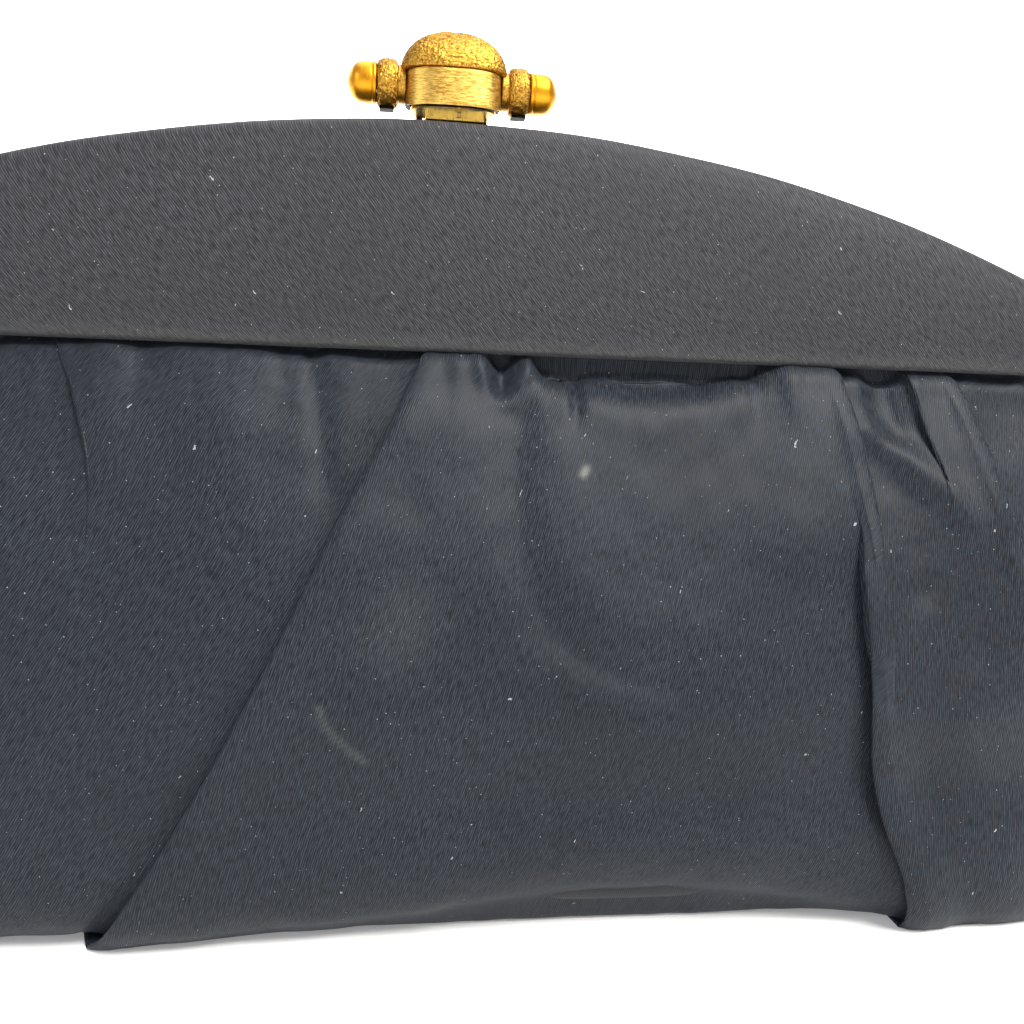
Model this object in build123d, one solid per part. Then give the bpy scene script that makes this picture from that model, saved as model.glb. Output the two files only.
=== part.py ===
"""Evening clutch: a pleated satin pouch on a covered, arched two-half frame with a flip clasp.

Millimetres. X runs along the width, -Y is the front, +Z is up, and z = 0 is the flat base it stands on.
Each half of the frame is written once for side = FRONT or REAR, and mirrored by the sign of y.
"""

import os
from math import atan2, copysign, cos, pi, radians, sin, sqrt

from build123d import *

os.makedirs("parts", exist_ok=True)

FRONT, REAR = -1, 1
LEFT, RIGHT = -1, 1

# ---- driving dimensions ----------------------------------------------------------------------
frame_width = 254.0  # over the covered frame, a ten inch frame
arch_top = 123.0  # crown of the covered arch above the base
arch_radius = 248.0
corner_radius = 10.0  # where the arch turns down into the legs
hem_height = 87.5  # straight lower edge of both crescent covers
cover_depth = 6.85  # from the middle plane to the outside of a cover

# frame metal: a U channel, open towards the pouch
metal_inset = 0.6  # cover cloth and glue over the metal
wall = 0.8
side_wall = 0.6
channel_height = 6.0
channel_inner, channel_outer = 0.3, 4.5  # distances of the two sides from the middle plane

# frame hinge, one riveted joint at each end
hinge_height = 84.0
leg_foot = 87.5  # the channel's legs stop here and only the ears go on to the rivet
ear_thickness = 1.0
ear_radius = 3.0
front_ear_x, rear_ear_x = 121.2, 122.5  # inner faces of the ears
rivet_radius = 1.1
running_gap = 0.05

# crescent covers
cloth = 0.5
board_inner, board_outer = 4.55, 6.3
hem_board_gap = 1.1
hem_return_width, hem_return_height = 200.0, 4.0

# pouch: (height, half width, half depth) of the outside, from the base to the mouth
pouch_stations = [
    (0.0, 117.0, 15.5),
    (5.0, 122.5, 18.7),
    (14.0, 126.8, 21.0),
    (30.0, 128.5, 21.8),
    (50.0, 127.8, 19.6),
    (68.0, 124.6, 14.6),
    (76.0, 121.6, 11.0),
    (81.0, 118.8, 7.6),
    (86.5, 117.5, 4.2),
]
mouth_height = 86.5
panel_cloth = 0.6
backing_offsets = (0.65, 2.2)  # padded backing, as distances in from the outside of the pouch
lining_offsets = (2.4, 2.9)
pocket_offsets = (2.95, 3.4)
binding_offsets = (2.95, 3.8)
backing_foot, backing_top = 3.2, 78.0
side_seam = 110.0  # distance of the side seams from the middle
gusset_top = 79.0
base_board = (216.0, 22.0, 1.4)
pocket_width, pocket_foot, pocket_top, binding_height = 110.0, 22.0, 62.0, 2.6

# clasp
pin_y, pin_z, pin_radius = 3.6, 124.85, 0.6
knuckle_radius, knuckle_half = 1.05, 4.35
bracket_half, bracket_foot, bracket_top = 5.85, 123.05, 123.4
bracket_inner, bracket_outer = 1.0, 5.9
ear_inner, ear_outer = 4.6, 5.5
lever_bottom, lever_top = 125.3, 125.9
drum_half_width, drum_half_depth, drum_wall = 7.5, 5.4, 0.8
drum_bottom, drum_top = 125.3, 131.1
drum_heel = 125.95  # the drum's lower edge is cut higher at the back, so that it can swing
dome_half_width, dome_half_depth, dome_height = 8.3, 5.7, 6.8
oval_power = 3.0  # above 2 the oval is flatter in front than an ellipse
bar_z, bar_radius, bar_half = 129.6, 1.0, 14.2
collar_radius, bead_radius, finial_radius = 2.9, 3.7, 3.0
bead_start, bead_end, finial_end = 8.6, 11.9, 16.5
foot_start, foot_end = 9.2, 11.5  # the dark feet under the beads
foot_bottom, foot_half_depth = 125.55, 1.0
catch_half = 4.45
lug_gap = (0.3, 1.0)  # between the wide lug and the narrow one
lug_top = 125.0
tongue_bottom = 124.8  # the lever's tongue drops between the lugs
clasp_rivet_radius = 0.6

SPAN = 400.0  # larger than the whole object, for cutting blocks


# ---- shared shapes ---------------------------------------------------------------------------
def block(x0, x1, y0, y1, z0, z1):
    """A box between two corners."""
    size = (abs(x1 - x0), abs(y1 - y0), abs(z1 - z0))
    return Pos((x0 + x1) / 2, (y0 + y1) / 2, (z0 + z1) / 2) * Box(*size)


def above(z):
    """Everything over a height, for keeping the upper part of a shape."""
    return block(-SPAN, SPAN, -SPAN, SPAN, z, z + SPAN)


def rod(x0, x1, y, z, radius):
    """A cylinder along X."""
    return Pos((x0 + x1) / 2, y, z) * Rot(0, 90, 0) * Cylinder(radius, abs(x1 - x0))


def post(x, y, z0, z1, radius):
    """A cylinder along Z."""
    return Pos(x, y, (z0 + z1) / 2) * Cylinder(radius, z1 - z0)


def one_piece(shape):
    """Drops the wrapper that booleans leave, so that a piece exports as plain solids."""
    solids = shape.solids()
    return solids[0] if len(solids) == 1 else Compound(children=list(solids))


arch_centre_z = arch_top - arch_radius
corner_x = frame_width / 2 - corner_radius
corner_z = arch_centre_z + sqrt((arch_radius - corner_radius) ** 2 - corner_x**2)
corner_angle = atan2(corner_z - arch_centre_z, corner_x)  # where arch and corner meet
arch_cut = 78.0  # arch shapes are drawn down to here and then trimmed


def arch_edges(inset, y):
    """The arch outline from left foot to right foot, moved inwards by inset."""
    half = frame_width / 2 - inset
    radius = arch_radius - inset
    corner = corner_radius - inset
    meet = (radius * cos(corner_angle), arch_centre_z + radius * sin(corner_angle))
    bend = (corner_x + corner * cos(corner_angle / 2), corner_z + corner * sin(corner_angle / 2))
    return [
        Line((-half, y, arch_cut), (-half, y, corner_z)),
        ThreePointArc((-half, y, corner_z), (-bend[0], y, bend[1]), (-meet[0], y, meet[1])),
        ThreePointArc((-meet[0], y, meet[1]), (0, y, arch_top - inset), (meet[0], y, meet[1])),
        ThreePointArc((meet[0], y, meet[1]), (bend[0], y, bend[1]), (half, y, corner_z)),
        Line((half, y, corner_z), (half, y, arch_cut)),
    ]


def arch_slab(inset, y0, y1, floor):
    """The area under the arch as a flat slab between two depths, above a floor height."""
    low, high = min(y0, y1), max(y0, y1)
    half = frame_width / 2 - inset
    edges = arch_edges(inset, low) + [Line((half, low, arch_cut), (-half, low, arch_cut))]
    slab = extrude(Face(Wire(edges)), amount=high - low, dir=(0, 1, 0))
    return slab & above(floor)


def arch_band(outer, inner, y0, y1, floor):
    """A strip that follows the arch between two insets."""
    return arch_slab(outer, y0, y1, floor) - arch_slab(inner, y0 - 1, y1 + 1, floor - 1)


# ---- frame -----------------------------------------------------------------------------------
def hinge_ear(side, end):
    """A flat plate across the end of a leg, round about the rivet."""
    inner = front_ear_x if side == FRONT else rear_ear_x
    x0, x1 = end * inner, end * (inner + ear_thickness)
    disc = rod(x0, x1, 0, hinge_height, ear_radius)
    strap = block(x0, x1, side * channel_inner, side * channel_outer, hinge_height, 90.0)
    strap = strap & arch_slab(metal_inset, -channel_outer, channel_outer, hinge_height)
    hole = rod(end * 110, end * 130, 0, hinge_height, rivet_radius + running_gap)
    return disc + strap - hole


def frame_channel(side):
    """One half of the frame: a bent U channel with a hinge ear at each end."""
    depths = (side * channel_inner, side * channel_outer)
    low, high = min(depths), max(depths)
    inner_inset = metal_inset + channel_height
    metal = arch_band(metal_inset, metal_inset + wall, low, high, leg_foot)
    metal += arch_band(metal_inset, inner_inset, low, low + side_wall, leg_foot)
    metal += arch_band(metal_inset, inner_inset, high - side_wall, high, leg_foot)
    for end in (LEFT, RIGHT):
        metal += hinge_ear(side, end)
    return metal


def clasp_rivet_places(side):
    return [(-2.9, side * 2.1), (2.9, side * 2.1)]


def drill_for_clasp(shape, side):
    for x, y in clasp_rivet_places(side):
        shape -= post(x, y, 115.0, 130.0, clasp_rivet_radius + 0.03)
    return shape


def clasp_rivets(side):
    """Two rivets, countersunk flush on top and headed inside the channel."""
    metal_bottom = arch_top - metal_inset - wall - 0.05
    rivets = []
    for x, y in clasp_rivet_places(side):
        shank = post(x, y, metal_bottom, bracket_top, clasp_rivet_radius)
        head = post(x, y, metal_bottom - 0.6, metal_bottom, 1.05)
        rivets.append((shank + head).solids()[0])
    return Compound(children=rivets)


def cover_board(side):
    """The stiff crescent that shapes a cover."""
    return arch_slab(metal_inset, side * board_inner, side * board_outer, hem_height + hem_board_gap)


def cover_cloth(side):
    """Satin over a crescent: the face, the wrap over the arch, and the hem turned up behind."""
    outside, face = side * cover_depth, side * (cover_depth - cloth)
    wrap_end = side * 0.35
    low, high = min(outside, wrap_end), max(outside, wrap_end)
    piece = arch_slab(0, outside, face, hem_height)
    piece += arch_band(0, cloth, low, high, hem_height)
    hem = block(-SPAN, SPAN, outside, side * board_inner, hem_height, hem_height + cloth - 0.05)
    turn_up = block(
        -hem_return_width / 2, hem_return_width / 2,
        side * 4.1, side * board_inner, hem_height, hem_height + hem_return_height,
    )
    piece += hem & arch_slab(0, low, high, hem_height)
    return piece + turn_up


def channel_cord(side):
    """The twisted paper cord pressed into the channel to hold the cloth."""
    cord_inset, cord_radius = 3.4, 0.5
    y = side * 1.6
    path = Wire(arch_edges(cord_inset, y)[2])
    start = Plane(origin=path @ 0, z_dir=path % 0)
    return sweep(start * Circle(cord_radius), path=path)


def yoke(side):
    """The plain strip that carries the top of the pleats up into the channel."""
    strip = arch_slab(2.6, side * 3.05, side * 3.6, mouth_height + 0.1)
    return strip & block(-116, 116, -10, 10, 80, 130)


def hinge_rivet(end):
    """A headed rivet along X through both ears."""
    shank = rod(end * 119.8, end * 125.0, 0, hinge_height, rivet_radius)
    inner_head = rod(end * 119.8, end * 120.9, 0, hinge_height, 2.1)
    outer_head = rod(end * 123.75, end * 124.6, 0, hinge_height, 2.3)
    outer_dome = rod(end * 124.6, end * 125.0, 0, hinge_height, 1.6)
    return shank + inner_head + outer_head + outer_dome


def hinge_washers():
    washers = []
    for end in (LEFT, RIGHT):
        x0, x1 = end * 122.25, end * 122.45
        ring = rod(x0, x1, 0, hinge_height, 2.6) - rod(x0, x1, 0, hinge_height, rivet_radius + 0.02)
        washers.append(ring.solids()[0])
    return Compound(children=washers)


# ---- pouch -----------------------------------------------------------------------------------
mouth_depths = {0.0: 4.2, 0.6: 3.6, 2.4: 2.8, 2.9: 2.3}  # the layers lie closer at the mouth


def pouch_body(offset):
    """The whole pouch as a solid, moved inwards by offset."""
    sections = []
    for z, half_width, half_depth in pouch_stations:
        x_size, depth = half_width - offset, half_depth - offset
        if z == mouth_height:
            depth = mouth_depths.get(offset, half_depth - 0.66 * offset)
        if z == 0.0:
            z = offset
        elif z < 10:
            z += offset / 2
        radius = 0.78 * depth
        outline = RectangleRounded(2 * x_size, 2 * depth, radius)
        sections.append(Pos(0, 0, z) * outline)
    return loft(Sketch() + sections)


def pouch_shell(offsets):
    return pouch_body(offsets[0]) - pouch_body(offsets[1])


def half_space(side):
    return block(-SPAN, SPAN, 0, side * SPAN, -10, SPAN)


outer_shell = pouch_shell((0.0, panel_cloth))
lining_shell = pouch_shell(lining_offsets)
backing_shell = pouch_shell(backing_offsets)


def pleated_panel(side):
    """Front or rear satin, from the seam along the base up to the mouth."""
    width = block(-side_seam, side_seam, -SPAN, SPAN, -10, SPAN)
    return outer_shell & half_space(side) & width


def gusset(end):
    """The side piece, between the two panels and under the hinge."""
    return outer_shell & block(end * (side_seam + 0.02), end * SPAN, -SPAN, SPAN, -10, gusset_top)


def backing(side):
    """The padded stiffening between a panel and its lining."""
    inner = side_seam - 1.0
    keep = block(-inner, inner, side * 1.0, side * SPAN, backing_foot, backing_top)
    return backing_shell & keep


def lining(side):
    """Half of the lining, with a flap that runs up into the channel."""
    bag = lining_shell & half_space(side) & block(-SPAN, SPAN, -SPAN, SPAN, 0, mouth_height)
    flap = arch_slab(2.6, side * 2.3, side * 2.8, mouth_height) & block(-116, 116, -10, 10, 80, 130)
    return bag + flap


def slip_pocket():
    area = block(-pocket_width / 2, pocket_width / 2, 0, SPAN, pocket_foot, pocket_top)
    return pouch_shell(pocket_offsets) & area


def pocket_binding():
    top = pocket_top + 0.02
    area = block(-pocket_width / 2, pocket_width / 2, 0, SPAN, top, top + binding_height)
    return pouch_shell(binding_offsets) & area


def bottom_board():
    length, depth, thickness = base_board
    return Pos(0, 0, 0.7 + thickness / 2) * extrude_rounded(length, depth, thickness)


def extrude_rounded(length, depth, thickness):
    outline = RectangleRounded(length, depth, depth * 0.3)
    return Pos(0, 0, -thickness / 2) * extrude(outline, amount=thickness)


# ---- clasp -----------------------------------------------------------------------------------
def clasp_bracket():
    """The rear half's fixed part: a windowed base and two ears for the pin."""
    base = block(-bracket_half, bracket_half, bracket_inner, bracket_outer, bracket_foot, bracket_top)
    ears = Part()
    for end in (LEFT, RIGHT):
        x0, x1 = end * ear_inner, end * ear_outer
        ears += rod(x0, x1, pin_y, pin_z, knuckle_radius)
        ears += block(x0, x1, pin_y - knuckle_radius, pin_y + knuckle_radius, bracket_foot, pin_z)
    bracket = base + ears - rod(-8, 8, pin_y, pin_z, pin_radius + 0.02)
    return drill_for_clasp(bracket, REAR)


def clasp_pin():
    shank = rod(-5.75, 5.75, pin_y, pin_z, pin_radius)
    heads = rod(5.55, 5.75, pin_y, pin_z, 0.9) + rod(-5.75, -5.55, pin_y, pin_z, 0.9)
    return shank + heads


def clasp_spring():
    """The thin leaf under the lever's knuckle that holds it down or up."""
    leaf = block(-3.6, 3.6, 2.7, 5.7, bracket_top + 0.02, bracket_top + 0.17)
    return leaf


def clasp_lever():
    """The plate inside the foot of the ornament, with its knuckle and tongue."""
    plate = drum_prism(-drum_wall - 0.03, lever_bottom, lever_top) & block(-9, 9, -9, 2.0, 120, 130)
    plate += block(-knuckle_half, knuckle_half, 1.9, 4.4, lever_bottom, lever_top)
    plate += rod(-knuckle_half, knuckle_half, pin_y, pin_z, knuckle_radius)
    tongue_x = (lug_gap[0] + running_gap, lug_gap[1] - running_gap)
    plate += block(*tongue_x, -4.5, -3.7, tongue_bottom, lever_bottom)
    return plate - rod(-8, 8, pin_y, pin_z, pin_radius + 0.06)


def oval(half_width, half_depth):
    """A closed outline, squarer than an ellipse."""
    steps = 24
    places = []
    for i in range(steps):
        turn = 2 * pi * i / steps
        x, y = cos(turn), sin(turn)
        places.append((
            half_width * copysign(abs(x) ** (2 / oval_power), x),
            half_depth * copysign(abs(y) ** (2 / oval_power), y),
        ))
    return Face(Wire([Spline(*places, periodic=True)]))


def drum_prism(extra, z0, z1):
    outline = oval(drum_half_width + extra, drum_half_depth + extra)
    return Pos(0, 0, z0) * extrude(outline, amount=z1 - z0)


def clasp_drum():
    """The oval band of the ornament, open below, with holes for the cross bar."""
    ring = drum_prism(0, drum_bottom, drum_top) - drum_prism(-drum_wall, drum_bottom - 1, drum_top + 1)
    ring -= block(-20, 20, 1.0, 20, drum_bottom - 1, drum_heel)
    return ring - rod(-10, 10, 0, bar_z, bar_radius + 0.02)


def dome_body(inset):
    """A low oval dome as a solid, from its rim up."""
    sections = []
    for degrees in (0, 25, 50, 68, 82):
        rise = radians(degrees)
        size = cos(rise) ** 0.9
        outline = oval((dome_half_width - inset) * size, (dome_half_depth - inset) * size)
        sections.append(Pos(0, 0, (dome_height - inset) * sin(rise)) * outline)
    return loft(Sketch() + sections)


def clasp_dome():
    """A hollow oval dome on top of the drum, a little wider than it."""
    return Pos(0, 0, drum_top + 0.03) * (dome_body(0) - dome_body(1.4))


def turned(points, end):
    """A solid turned about the cross bar's axis from (distance out, radius) points."""
    profile = [Vector(end * x, 0, bar_z + r) for x, r in points]
    face = Face(Polyline(*profile, close=True))
    return revolve(face, Axis((0, 0, bar_z), (1, 0, 0)), 360)


def bead(end):
    """The collar and the round bead outside it, one turned piece."""
    bore = bar_radius + 0.02
    middle = (bead_start + bead_end) / 2
    outline = [
        (5.2, bore), (5.2, collar_radius), (bead_start, collar_radius),
        (bead_start + 0.35, bead_radius - 0.35), (middle - 0.7, bead_radius),
        (middle + 0.7, bead_radius), (bead_end - 0.35, bead_radius - 0.35),
        (bead_end, collar_radius), (bead_end, bore),
    ]
    collar_cut = block(-dome_half_width - 0.02, dome_half_width + 0.02, -20, 20, drum_top, 140)
    return turned(outline, end) - drum_prism(0.03, drum_bottom - 5, drum_top + 5) - collar_cut


def foot(end):
    """The dark pad under a bead, hollowed to sit against it."""
    pad = block(
        end * foot_start, end * foot_end, -foot_half_depth, foot_half_depth,
        foot_bottom, bar_z - bead_radius + 0.6,
    )
    return pad - rod(end * 8, end * 13, 0, bar_z, bead_radius + 0.02)


def finial(end):
    """The rounded tip, with a blind bore for the bar."""
    start, bore_end = bead_end + 0.04, bar_half + 0.05
    nose = 2.1
    outline = [(start, bar_radius + 0.02), (start, finial_radius)]
    steps = 6
    for i in range(steps + 1):
        turn = radians(90 * i / steps)
        outline.append((finial_end - nose * (1 - sin(turn)), finial_radius * cos(turn) ** 0.8))
    outline[-1] = (finial_end, 0)
    outline += [(bore_end, 0), (bore_end, bar_radius + 0.02)]
    return turned(outline, end)


def catch_plate():
    """The front half's fixed part: a base with two polished lugs, one wider than the other."""
    base = block(-catch_half, catch_half, -bracket_outer, -bracket_inner, bracket_foot, bracket_top)
    wide = block(-catch_half, lug_gap[0], -4.6, -3.6, bracket_foot, lug_top)
    narrow = block(lug_gap[1], catch_half, -4.6, -3.6, bracket_foot, lug_top)
    return drill_for_clasp(base + wide + narrow, FRONT)


# ---- every node ------------------------------------------------------------------------------
side_names = {FRONT: "front", REAR: "rear"}
end_names = {LEFT: "left", RIGHT: "right"}
nodes = {}
for side, name in side_names.items():
    nodes[f"{name}_frame_channel"] = drill_for_clasp(frame_channel(side), side)
    nodes[f"{name}_cover_board"] = cover_board(side)
    nodes[f"{name}_cover_satin"] = drill_for_clasp(cover_cloth(side), side)
    nodes[f"{name}_channel_cord"] = channel_cord(side)
    nodes[f"{name}_yoke"] = yoke(side)
    nodes[f"{name}_panel"] = pleated_panel(side)
    nodes[f"{name}_backing"] = backing(side)
    nodes[f"{name}_lining"] = lining(side)
for end, name in end_names.items():
    nodes[f"gusset_{name}"] = gusset(end)
    nodes[f"hinge_rivet_{name}"] = hinge_rivet(end)
    nodes[f"bead_{name}"] = bead(end)
    nodes[f"finial_{name}"] = finial(end)
    nodes[f"foot_{name}"] = foot(end)
nodes["hinge_washers"] = hinge_washers()
nodes["base_board"] = bottom_board()
nodes["slip_pocket"] = slip_pocket()
nodes["pocket_binding"] = pocket_binding()
nodes["catch_plate"] = catch_plate()
nodes["catch_rivets"] = clasp_rivets(FRONT)
nodes["clasp_bracket"] = clasp_bracket()
nodes["bracket_rivets"] = clasp_rivets(REAR)
nodes["clasp_pin"] = clasp_pin()
nodes["clasp_spring"] = clasp_spring()
nodes["clasp_lever"] = clasp_lever()
nodes["clasp_drum"] = clasp_drum()
nodes["clasp_dome"] = clasp_dome()
nodes["clasp_bar"] = rod(-bar_half, bar_half, 0, bar_z, bar_radius)

for name, shape in nodes.items():
    export_step(one_piece(shape), f"parts/{name}.step")
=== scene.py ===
import math
import bpy
import numpy as np
from mathutils import Matrix, Vector, noise


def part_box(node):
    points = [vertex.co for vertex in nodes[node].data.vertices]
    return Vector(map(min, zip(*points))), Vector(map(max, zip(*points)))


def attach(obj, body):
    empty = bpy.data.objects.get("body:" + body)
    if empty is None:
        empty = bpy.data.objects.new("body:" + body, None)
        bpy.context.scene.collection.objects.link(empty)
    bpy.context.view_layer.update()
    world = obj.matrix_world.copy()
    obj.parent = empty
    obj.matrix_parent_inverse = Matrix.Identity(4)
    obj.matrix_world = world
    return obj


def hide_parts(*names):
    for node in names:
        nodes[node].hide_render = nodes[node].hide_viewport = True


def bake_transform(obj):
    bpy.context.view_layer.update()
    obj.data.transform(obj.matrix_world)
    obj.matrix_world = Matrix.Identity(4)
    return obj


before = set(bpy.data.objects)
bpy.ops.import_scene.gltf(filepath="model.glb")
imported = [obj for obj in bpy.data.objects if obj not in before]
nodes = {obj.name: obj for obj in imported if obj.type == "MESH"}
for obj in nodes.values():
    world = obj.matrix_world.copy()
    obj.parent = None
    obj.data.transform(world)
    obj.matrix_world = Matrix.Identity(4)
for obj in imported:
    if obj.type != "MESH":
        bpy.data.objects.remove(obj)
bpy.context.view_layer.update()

mm = 0.001
rng = np.random.default_rng(12)  # every random draw in the file comes from here
print("frame loaded:", len(nodes), "nodes")

def toLinear(hexValue):
    channels = [int(hexValue[i:i + 2], 16) / 255 for i in (1, 3, 5)]
    return tuple(c / 12.92 if c <= 0.04045 else ((c + 0.055) / 1.055) ** 2.4 for c in channels) + (1,)

def smoothRange(t, low, high):
    t = np.clip((t - low) / (high - low), 0, 1)  # high may be under low, for a fade that runs down
    return t * t * (3 - 2 * t)

def throughPoints(points, count):
    p = np.array(points, float)  # smooth line through a few points, evenly spaced along its length
    ends = np.vstack([2 * p[0] - p[1], p, 2 * p[-1] - p[-2]])
    line = []
    for a, b, c, d in zip(ends, ends[1:], ends[2:], ends[3:]):
        t = np.linspace(0, 1, 24, endpoint=False)[:, None]
        line.append(0.5 * (2 * b + (c - a) * t + (2 * a - 5 * b + 4 * c - d) * t ** 2
                           + (3 * b - a - 3 * c + d) * t ** 3))
    line = np.vstack(line + [p[-1:]])
    along = np.r_[0, np.cumsum(np.linalg.norm(np.diff(line, axis=0), axis=1))]
    at = np.linspace(0, along[-1], count)
    return np.column_stack([np.interp(at, along, line[:, k]) for k in range(p.shape[1])])

def ripples(x, y, shortest, longest, waves=14):
    total = np.zeros(np.broadcast(x, y).shape)  # slow uneven waves, about -1 to 1
    for _ in range(waves):
        turn, phase = rng.uniform(0, 2 * math.pi, 2)
        length = rng.uniform(shortest, longest)
        total += np.sin((x * math.cos(turn) + y * math.sin(turn)) * 2 * math.pi / length + phase)
    return total / math.sqrt(waves)

def clothMesh(name, points, body=None, grain=None, marks=None, flip=False, closed=False, thickness=0):
    rows, cols = points.shape[:2]  # points are millimetres, rows x columns x 3
    data = bpy.data.meshes.new(name)
    index = np.arange(rows * cols).reshape(rows, cols)
    nextCol = np.roll(index, -1, axis=1) if closed else index[:, 1:]
    here = index if closed else index[:, :-1]
    quads = np.stack([here[:-1], nextCol[:-1], nextCol[1:], here[1:]], axis=-1).reshape(-1, 4)
    if flip:
        quads = quads[:, ::-1]
    data.from_pydata((points.reshape(-1, 3) * mm).tolist(), [], quads.tolist())
    data.polygons.foreach_set("use_smooth", [True] * len(data.polygons))
    if grain is not None:
        layer = data.attributes.new("grain", "FLOAT_VECTOR", "POINT")
        layer.data.foreach_set("vector", grain.reshape(-1, 3).astype(np.float32).ravel())
    if marks is not None:
        layer = data.attributes.new("marks", "FLOAT", "POINT")
        layer.data.foreach_set("value", marks.reshape(-1).astype(np.float32))
    piece = bpy.data.objects.new(name, data)
    bpy.context.scene.collection.objects.link(piece)
    if thickness:
        shell = piece.modifiers.new("thickness", "SOLIDIFY")
        shell.thickness = thickness * mm
        shell.offset = -1
        shell.use_even_offset = False
    if body:
        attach(piece, body)
    return piece

def dress(piece, material, cadNode):
    piece.data.materials.append(material)
    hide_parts(cadNode)

def newMaterial(name):
    made = bpy.data.materials.new(name)
    made.use_nodes = True
    tree = made.node_tree
    return made, tree, tree.nodes["Principled BSDF"]

def addNode(tree, kind, settings=None, links=None):
    node = tree.nodes.new(kind)
    for key, value in (settings or {}).items():
        if key in node.inputs:
            node.inputs[key].default_value = value
        else:
            setattr(node, key, value)
    for key, source in (links or {}).items():
        tree.links.new(source, node.inputs[key])
    return node

def mathNode(tree, operation, a, b=0.0):
    node = addNode(tree, "ShaderNodeMath", {"operation": operation})
    for socket, value in zip(node.inputs, (a, b)):
        if isinstance(value, (int, float)):
            socket.default_value = value
        else:
            tree.links.new(value, socket)
    return node.outputs[0]

def mixColours(tree, factor, a, b):
    node = addNode(tree, "ShaderNodeMix", {"data_type": "RGBA"})
    for socket, value in ((node.inputs[0], factor), (node.inputs[6], a), (node.inputs[7], b)):
        if isinstance(value, (int, float, tuple)):
            socket.default_value = value
        else:
            tree.links.new(value, socket)
    return node.outputs[2]

def ramp(tree, value, low, high):
    node = addNode(tree, "ShaderNodeMapRange", {"From Min": low, "From Max": high}, {"Value": value})
    return node.outputs[0]

def scaled(tree, vector, factors):
    node = addNode(tree, "ShaderNodeVectorMath", {"operation": "MULTIPLY"}, {0: vector})
    node.inputs[1].default_value = factors
    return node.outputs[0]

# Satin: a smooth-faced weave whose fine diagonal ribs give streaks and a soft sheen.
# The real ribs stand about 0.26 mm apart, too fine to show, so they are drawn at 0.32 mm.
satin = {
    "ribSpacing": 0.32,
    "ribLength": 1.5,
    "lintSpacing": 1.0,
    "lintSize": 0.055,
    "fibreSize": 0.045,
    "lintShow": 0.5,
    "lintColour": "#B9BCC0",
    "rubAndHighlightColour": "#8E9088",
    "sheenColour": "#C9D2E0",
}

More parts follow.
